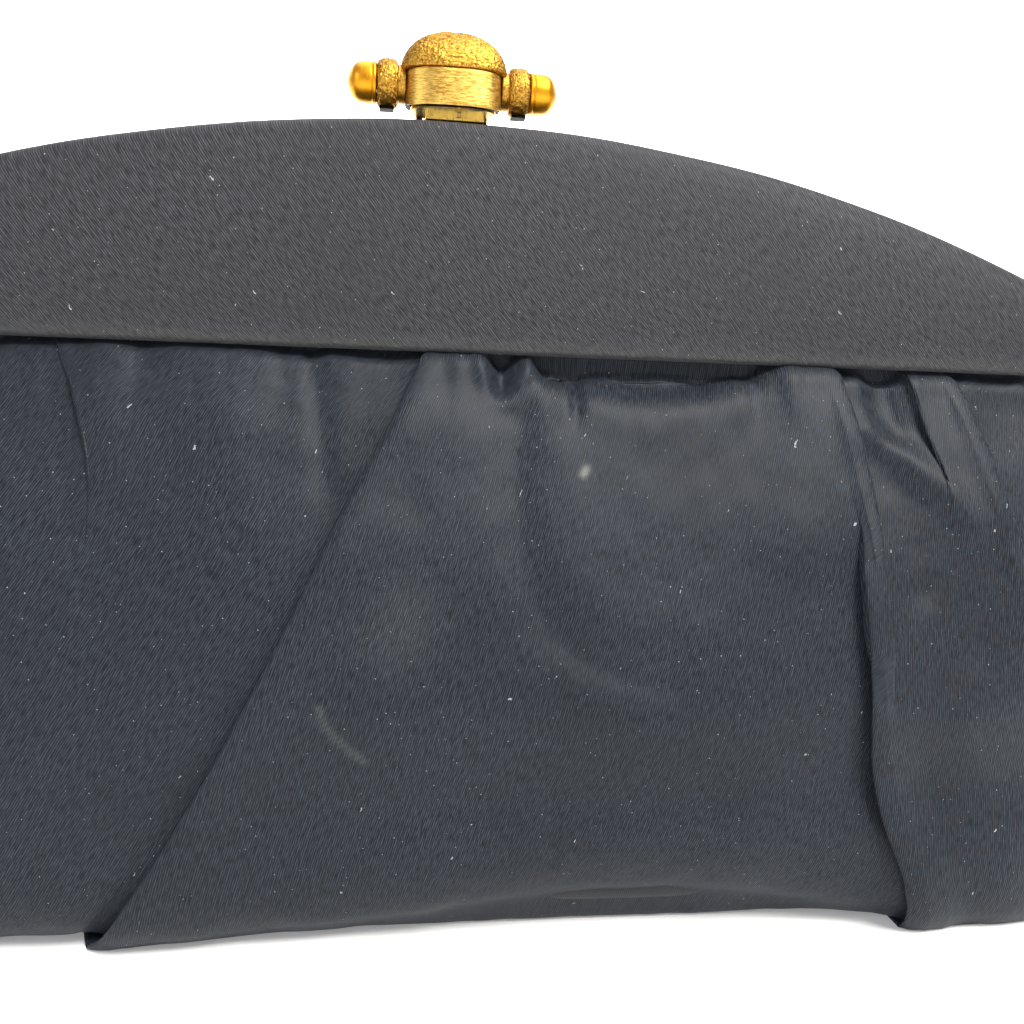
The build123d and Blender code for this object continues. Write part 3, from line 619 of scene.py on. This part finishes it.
def crescentCover(name, side, body, cadNode):
    limit = cover["halfWidth"] - 0.05
    u = np.linspace(-1, 1, cover["columns"])
    x = limit * np.sin(u * math.pi / 2) * 0.35 + limit * u * 0.65
    top = archHeight(x)
    tall = np.maximum(top - cover["hem"], 0.05)
    small = np.clip(tall / 8, 0, 1)
    topRound, hemRound = cover["topRound"] * small, cover["hemRound"] * np.clip(tall / 3, 0, 1)
    hem = cover["hem"] + 0.5 * np.clip(tall / 8, 0, 1)
    rings = []  # from behind the hem, round it, up the face, over the arch to the middle
    for up in (2.6, 1.4):
        rings.append((cover["back"] + 0 * x, hem + np.minimum(up, tall * 0.4)))
    for k in range(7):
        a = math.radians(180 + 30 * k)  # the rolled hem
        mid, reach = (cover["back"] + cover["face"]) / 2, (cover["face"] - cover["back"]) / 2
        rings.append((mid + reach * math.cos(a), hem + hemRound * (1 + math.sin(a))))
    faceLow, faceHigh = hem + hemRound, top - topRound
    uneven = 0.10 * ripples(x, 0, 30, 90, 10)
    for k in range(1, 31):
        t = k / 31
        crown = cover["bulge"] * (4 * t * (1 - t)) ** 0.75 * small
        band = 0.28 * np.exp(-((t * tall - 4.0) / 1.3) ** 2) * small  # where the turned-up hem ends inside
        rings.append((cover["face"] + crown - band * 0.6 + uneven * small * math.sin(math.pi * t),
                      faceLow + (faceHigh - faceLow) * t))
    for k in range(0, 8):
        a = math.radians(90 * k / 7)
        rings.append((cover["face"] - topRound * (1 - math.cos(a)), faceHigh + topRound * math.sin(a)))
    for y in (3.6, 2.4, 1.2, 0.55):
        rings.append((np.minimum(y, cover["face"] - topRound - 0.1), top + 0 * x))
    rings.append((0.36 + 0 * x, top - 0.25))
    rings.append((0.36 + 0 * x, top - np.minimum(0.9, tall * 0.5)))
    y = np.array([np.broadcast_to(r[0], x.shape) for r in rings])
    z = np.array([np.broadcast_to(r[1], x.shape) for r in rings])
    z = z + 0.06 * ripples(x, 0, 12, 40, 8)[None, :] * (z > hem + 1)
    across = np.broadcast_to(x, z.shape)
    points = np.stack([across, side * y, z], axis=-1)
    turn = math.radians(128 if side < 0 else 52)  # ribs run down to the right on the front
    run = z + y
    grain = np.stack([across * math.cos(turn) + run * math.sin(turn),
                      -across * math.sin(turn) + run * math.cos(turn), 0 * z + 11], axis=-1)
    # Painted highlight: a pale strip along the front of the lower edge, where the rolled rim catches the
    # light. The scratch below is a real mark.
    scratchAndHemHighlight = cover["hemHighlight"] * np.exp(-((z - hem - 0.6) / 1.3) ** 2) * (y > cover["face"] - 1.2)
    scratchX, scratchZ, scratchHalf = cover["scratch"]
    scratch = np.exp(-((across - scratchX - (z - scratchZ)) ** 2 * 6))
    scratch = scratch * smoothRange(np.abs(z - scratchZ), scratchHalf, 0)
    scratchAndHemHighlight = np.maximum(scratchAndHemHighlight, 0.10 * scratch)
    piece = clothMesh(name, points, body, grain, scratchAndHemHighlight, flip=side > 0, thickness=cover["thickness"])
    dress(piece, wovenSatinCover, cadNode)
    return piece

frontCover = crescentCover("front_cover_cloth", -1, "front_frame", "front_cover_satin")
rearCover = crescentCover("rear_cover_cloth", 1, "rear_frame", "rear_cover_satin")
print("covers made")

lining = {
    "inset": 2.7,
    "neck": 1.6,  # drawn in under the frame
    "columns": 150,
    "rows": 110,
    "flapRows": 25,
    "flapFrom": 86.0,
    "flapInset": 3.4,
    "flapDepth": 2.6,
    "halfWidth": 112.0,
    "thickness": 0.2,
}

def liningCloth(side, cadNode):
    depth, z, level, normal = pouchProfile(lining["rows"])
    keep = z < 85
    depth = np.maximum(depth[keep] - lining["inset"] * np.abs(normal[keep, 0]), 0)
    height = z[keep] - lining["inset"] * normal[keep, 1]
    height = np.maximum(height, 2.4)
    x = np.linspace(-1, 1, lining["columns"]) * lining["halfWidth"]
    squeeze = (widthAt(z[keep]) - lining["inset"])[:, None]
    y = depth[:, None] * sideFactor(x[None, :], squeeze)
    zz = height[:, None] + 0 * x[None, :]
    wrinkles = 0.5 * ripples(x[None, :] + 0 * zz, zz * 0.4, 10, 30, 14) * smoothRange(zz, 4, 16)
    y = np.maximum(y - np.abs(wrinkles) * smoothRange(zz, 86, 74), 0)
    y = np.maximum(y - lining["neck"] * smoothRange(zz, 72, 84), np.minimum(y, 2.8))
    rise = np.linspace(0, 1, lining["flapRows"] + 1)[1:, None]
    top = np.maximum(archHeight(x) - lining["flapInset"], 88.2)[None, :]
    flapZ = lining["flapFrom"] + (top - lining["flapFrom"]) * rise
    lastY = y[-1][None, :]
    flapY = lastY + (lining["flapDepth"] - lastY) * smoothRange(rise, 0, 0.16)
    across = np.broadcast_to(x, (len(y) + lining["flapRows"], len(x)))
    points = np.stack([across, side * np.vstack([y, flapY]), np.vstack([zz, flapZ])], axis=-1)
    grain = np.stack([points[..., 2] + np.abs(points[..., 1]), across, 0 * across + 5], axis=-1)
    name = "front_lining_cloth" if side < 0 else "rear_lining_cloth"
    piece = clothMesh(name, points, grain=grain, flip=side < 0, thickness=lining["thickness"])
    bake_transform(piece)
    dress(piece, liningTaffeta, cadNode)
    return piece

liningCloths = [liningCloth(-1, "front_lining"), liningCloth(1, "rear_lining")]

pocket = {"halfWidth": 55.0, "low": 22.0, "high": 62.0, "ribbonFrom": 60.8, "ribbonTo": 63.4,
          "inset": 3.3, "gape": 0.5, "rows": 24, "columns": 60, "thickness": 0.25}

def pocketPiece(name, low, high, extra, cadNode, finish):
    z = np.linspace(low, high, pocket["rows"])[:, None]
    x = np.linspace(-1, 1, pocket["columns"])[None, :] * pocket["halfWidth"]
    profile = throughPoints(pouch["profile"], 300)
    front = profile[profile[:, 0] > 9]
    depth = np.interp(z, front[:, 1], front[:, 0]) - pocket["inset"] - extra
    gape = pocket["gape"] * smoothRange(z, 40, 64) * np.cos(x / pocket["halfWidth"] * math.pi / 2)
    y = depth * sideFactor(x, widthAt(z) - 3) - gape - 0.12 * np.abs(ripples(x + 0 * z, z, 10, 26, 10))
    points = np.stack([x + 0 * z, y, z + 0 * x], axis=-1)
    grain = np.stack([z + 0 * x, x + 0 * z, 0 * x + 0 * z], axis=-1)
    piece = clothMesh(name, points, "pouch", grain, thickness=pocket["thickness"])
    dress(piece, finish, cadNode)
    return piece

pocketCloth = pocketPiece("slip_pocket_cloth", pocket["low"], pocket["high"], 0.0, "slip_pocket",
                          liningTaffeta)
pocketPiece("pocket_ribbon", pocket["ribbonFrom"], pocket["ribbonTo"], 0.35, "pocket_binding",
            grosgrainRibbon)
print("lining and pocket made")

clasp = {
    "axisHeight": (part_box("clasp_bar")[0].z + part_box("clasp_bar")[1].z) / 2 / mm,
    "drumLow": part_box("clasp_drum")[0].z / mm,
    "drumHigh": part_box("clasp_drum")[1].z / mm,
    "drumX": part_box("clasp_drum")[1].x / mm,
    "drumY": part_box("clasp_drum")[1].y / mm,
    "domeX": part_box("clasp_dome")[1].x / mm,
    "domeY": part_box("clasp_dome")[1].y / mm,
    "domeTop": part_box("clasp_dome")[1].z / mm,
    "beadX": (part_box("bead_right")[1].x / mm - 3.3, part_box("bead_right")[1].x / mm),
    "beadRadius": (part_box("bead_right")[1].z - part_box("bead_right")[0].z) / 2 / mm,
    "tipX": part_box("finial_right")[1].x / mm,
    "heel": 1.5,  # the band's lower edge is this much higher at the ends and the back
    "wall": 0.75,
    "edgeRound": 0.35,
    "topRound": 0.2,
    "ovalPower": 3.0,  # above 2 the oval is flatter in front than an ellipse
    "grain": 0.31,  # size of the cast nuggets
    "relief": 0.19,
}

def stipple(points, normals, mask, size, relief):
    moved = points.copy()
    flat, flatNormals = moved.reshape(-1, 3), normals.reshape(-1, 3)
    for i, weight in enumerate(mask.reshape(-1)):
        if weight > 0.01:
            spot = Vector(flat[i]) / size
            near = noise.voronoi(spot)[0]
            lump = min(1.0, (near[1] - near[0]) * 2.2) + 0.45 * noise.noise(spot * 0.6)
            flat[i] += flatNormals[i] * relief * weight * (lump - 0.55)
    return moved

def gridNormals(points):
    du = np.roll(points, -1, axis=1) - np.roll(points, 1, axis=1)
    dv = np.gradient(points, axis=0)
    n = np.cross(du, dv)
    length = np.linalg.norm(n, axis=2, keepdims=True)
    return n / np.maximum(length, 1e-9)

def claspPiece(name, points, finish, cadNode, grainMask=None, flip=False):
    if grainMask is not None:
        out = gridNormals(points) * (-1 if flip else 1)
        points = stipple(points, out, grainMask, clasp["grain"], clasp["relief"])
    piece = clothMesh(name, points, "clasp", flip=flip, closed=True)
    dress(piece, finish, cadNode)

around = np.linspace(0, 2 * math.pi, 300, endpoint=False)
roundX = np.sign(np.cos(around)) * np.abs(np.cos(around)) ** (2 / clasp["ovalPower"])
roundY = np.sign(np.sin(around)) * np.abs(np.sin(around)) ** (2 / clasp["ovalPower"])

def domePiece():
    base = clasp["drumHigh"] + 0.05
    rise = np.radians(np.linspace(0, 89.6, 72))
    rings = [(0.90, base), (0.97, base), (0.995, base + 0.12)]
    spring = base + 0.3  # where the dome starts to curve in
    rings += [(math.cos(a) ** 1.04, spring + (clasp["domeTop"] - spring) * math.sin(a)) for a in rise]
    r, z = np.array(rings).T[:, :, None]
    points = np.stack([clasp["domeX"] * r * roundX, clasp["domeY"] * r * roundY, z + 0 * around], axis=-1)
    mask = np.repeat(smoothRange(z, base, base + 0.35), len(around), axis=1)
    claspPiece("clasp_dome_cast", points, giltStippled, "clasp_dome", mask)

def drumPiece():
    low, high = clasp["drumLow"], clasp["drumHigh"]
    wall, edgeRound, topRound = clasp["wall"], clasp["edgeRound"], clasp["topRound"]
    rings = [(-wall, high - 0.4), (-wall, low + 0.7), (-wall, low + 0.02), (-edgeRound, low)]
    rings += [(-edgeRound * (1 - math.sin(a)), low + edgeRound * (1 - math.cos(a)))
              for a in np.radians([30, 60, 90])]
    rings += [(0, z) for z in np.linspace(low + 0.6, high - 0.5, 18)]
    rings += [(-topRound * (1 - math.cos(a)), high - topRound * (1 - math.sin(a)))
              for a in np.radians([0, 45, 90])]
    rings += [(-wall, high), (-wall, high - 0.3)]
    inset, z = np.array(rings).T[:, :, None]
    lowest = low + clasp["heel"] * smoothRange(roundY, -1, 0.15)
    points = np.stack([(clasp["drumX"] + inset) * roundX, (clasp["drumY"] + inset) * roundY,
                       np.maximum(z + 0 * around, lowest)], axis=-1)
    inside = 5  # rings up to here, the inside, underside and lower rounding of the band, get dark brass as painted shade
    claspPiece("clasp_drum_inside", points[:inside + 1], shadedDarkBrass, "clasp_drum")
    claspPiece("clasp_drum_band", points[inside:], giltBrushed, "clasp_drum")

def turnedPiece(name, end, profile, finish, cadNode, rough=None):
    turn = np.linspace(0, 2 * math.pi, 132, endpoint=False)
    line = np.array(profile, float)
    x, r = line[:, 0][:, None], line[:, 1][:, None]
    points = np.stack([end * x + 0 * turn, r * np.sin(turn), clasp["axisHeight"] + r * np.cos(turn)],
                      axis=-1)
    mask = None
    if rough:
        mask = np.repeat(smoothRange(line[:, 0], rough[0], rough[0] + 0.3)[:, None]
                         * smoothRange(line[:, 0], rough[1], rough[1] - 0.3)[:, None], len(turn), axis=1)
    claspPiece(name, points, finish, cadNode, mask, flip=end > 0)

def denser(points, step):
    p = np.array(points, float)
    along = np.r_[0, np.cumsum(np.linalg.norm(np.diff(p, axis=0), axis=1))]
    at = np.linspace(0, along[-1], max(2, int(along[-1] / step)))
    return np.column_stack([np.interp(at, along, p[:, 0]), np.interp(at, along, p[:, 1])])

domePiece()
drumPiece()
inner, outer = clasp["beadX"]
crest = clasp["beadRadius"]
beadLine = throughPoints([(inner, crest - 0.85), (inner + 0.2, crest - 0.45), (inner + 0.7, crest - 0.12),
                          ((inner + outer) / 2, crest), (outer - 0.7, crest - 0.12),
                          (outer - 0.2, crest - 0.45), (outer - 0.02, crest - 0.85)], 52)
neckLine = denser([(5.6, 1.2), (5.6, 1.3), (7.4, 1.35), (7.52, 2.9), (8.0, 2.9), (inner, 2.85)], 0.15)
tip = clasp["tipX"]
finialLine = throughPoints([(outer + 0.04, 2.7), (outer + 0.16, 3.1), (outer + 0.55, 3.14),
                            (outer + 0.75, 2.98), (outer + 1.0, 3.1), (tip - 2.0, 2.98), (tip - 1.1, 2.5),
                            (tip - 0.4, 1.55), (tip - 0.08, 0.6), (tip, 0.02)], 80)
for end, endName in ((-1, "left"), (1, "right")):
    turnedPiece(f"bead_{endName}_cast", end, np.vstack([neckLine[:-1], beadLine, [(outer, 1.2)]]),
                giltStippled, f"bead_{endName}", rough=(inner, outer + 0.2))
    turnedPiece(f"finial_{endName}_turned", end, np.vstack([[(outer + 0.04, 1.2)], finialLine]), giltTurned,
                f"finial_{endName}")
print("clasp made")

# The dark brass on the feet and the bracket is painted shade: they sit in shadow under and behind the band.
finishes = {
    "front_frame_channel": giltRolled, "rear_frame_channel": giltRolled,
    "hinge_rivet_left": giltPolished, "hinge_rivet_right": giltPolished, "hinge_washers": shadedDarkBrass,
    "front_cover_board": pressedBoard, "rear_cover_board": pressedBoard, "base_board": pressedBoard,
    "front_channel_cord": twistedPaper, "rear_channel_cord": twistedPaper,
    "foot_left": shadedDarkBrass, "foot_right": shadedDarkBrass,
    "catch_plate": giltPolished, "clasp_lever": giltPolished, "clasp_bar": giltTurned,
    "catch_rivets": shadedDarkBrass, "bracket_rivets": shadedDarkBrass, "clasp_bracket": shadedDarkBrass,
    "clasp_pin": springSteel, "clasp_spring": springSteel,
    "front_yoke": wovenSatinPouch, "rear_yoke": wovenSatinPouch,
}
for name, finish in finishes.items():
    nodes[name].data.materials.clear()
    nodes[name].data.materials.append(finish)
for name in ("catch_plate", "clasp_lever", "clasp_bracket"):
    edges = nodes[name].modifiers.new("edges", "BEVEL")
    edges.width = 0.1 * mm
    edges.segments = 2
    edges.limit_method = "ANGLE"
    edges.angle_limit = math.radians(40)

studio = {"paper": "#F6F5F3", "paperGlow": 0.22, "worldLight": 0.30, "white": "#FFFFFF"}

def studioSweep():
    line = throughPoints([(-900, 0), (-300, 0), (150, 0), (300, 0), (420, 30), (500, 110), (540, 240),
                          (560, 500), (560, 1200)], 60)  # (depth, height) of the paper sweep
    x = np.linspace(-1400, 1400, 8)
    points = np.stack([x + 0 * line[:, :1], line[:, :1] + 0 * x, line[:, 1:] + 0 * x], axis=-1)
    floor = clothMesh("studio_sweep", points)
    made, tree, shader = newMaterial("paper_sweep_matte")
    shader.inputs["Base Color"].default_value = toLinear(studio["paper"])
    shader.inputs["Roughness"].default_value = 0.9
    shader.inputs["Emission Color"].default_value = toLinear(studio["white"])
    shader.inputs["Emission Strength"].default_value = studio["paperGlow"]
    floor.data.materials.append(made)

studioSweep()

def softLight(name, place, aim, size, watts, colour):
    data = bpy.data.lights.new(name, "AREA")
    data.shape = "RECTANGLE"
    data.size, data.size_y = size[0] * mm, size[1] * mm
    data.energy = watts
    data.color = toLinear(colour)[:3]
    lamp = bpy.data.objects.new(name, data)
    bpy.context.scene.collection.objects.link(lamp)
    lamp.location = Vector(place) * mm
    lamp.rotation_mode = "QUATERNION"
    lamp.rotation_quaternion = (Vector(aim) * mm - lamp.location).to_track_quat("-Z", "Y")

softLight("key", (300, -420, 640), (0, 0, 60), (300, 300), 9.5, "#FFFDF8")
softLight("fill", (-560, -420, 330), (0, 0, 60), (400, 300), 1.6, "#F4F8FF")
softLight("top", (40, 60, 760), (0, 0, 60), (700, 500), 3.4, "#FFFFFF")
softLight("back", (0, 380, 420), (0, 560, 120), (1200, 300), 12.0, "#FFFFFF")
world = bpy.data.worlds.new("studio")
world.use_nodes = True
world.node_tree.nodes["Background"].inputs[0].default_value = toLinear(studio["white"])
world.node_tree.nodes["Background"].inputs[1].default_value = studio["worldLight"]
bpy.context.scene.world = world
bpy.context.scene.view_settings.view_transform = "Standard"

view = {"yaw": 7.62, "pitch": 4.41, "roll": 1.69, "aim": (11.3, 0.0, 63.0), "distance": 167.7,
        "sensor": 36, "lens": 36}
yaw, pitch, roll = (math.radians(view[k]) for k in ("yaw", "pitch", "roll"))
ahead = Vector((math.sin(yaw) * math.cos(pitch), math.cos(yaw) * math.cos(pitch), -math.sin(pitch)))
right = ahead.cross(Vector((0, 0, 1))).normalized()
up = right.cross(ahead)
cameraX = right * math.cos(roll) + up * math.sin(roll)
cameraY = up * math.cos(roll) - right * math.sin(roll)
camera = bpy.data.objects.new("camera", bpy.data.cameras.new("camera"))
bpy.context.scene.collection.objects.link(camera)
camera.matrix_world = Matrix.Translation((Vector(view["aim"]) - ahead * view["distance"]) * mm) @ \
    Matrix((cameraX, cameraY, -ahead)).transposed().to_4x4()
camera.data.sensor_width = view["sensor"]
camera.data.lens = view["lens"]
camera.data.clip_start = 0.005
bpy.context.scene.camera = camera
print("studio made")
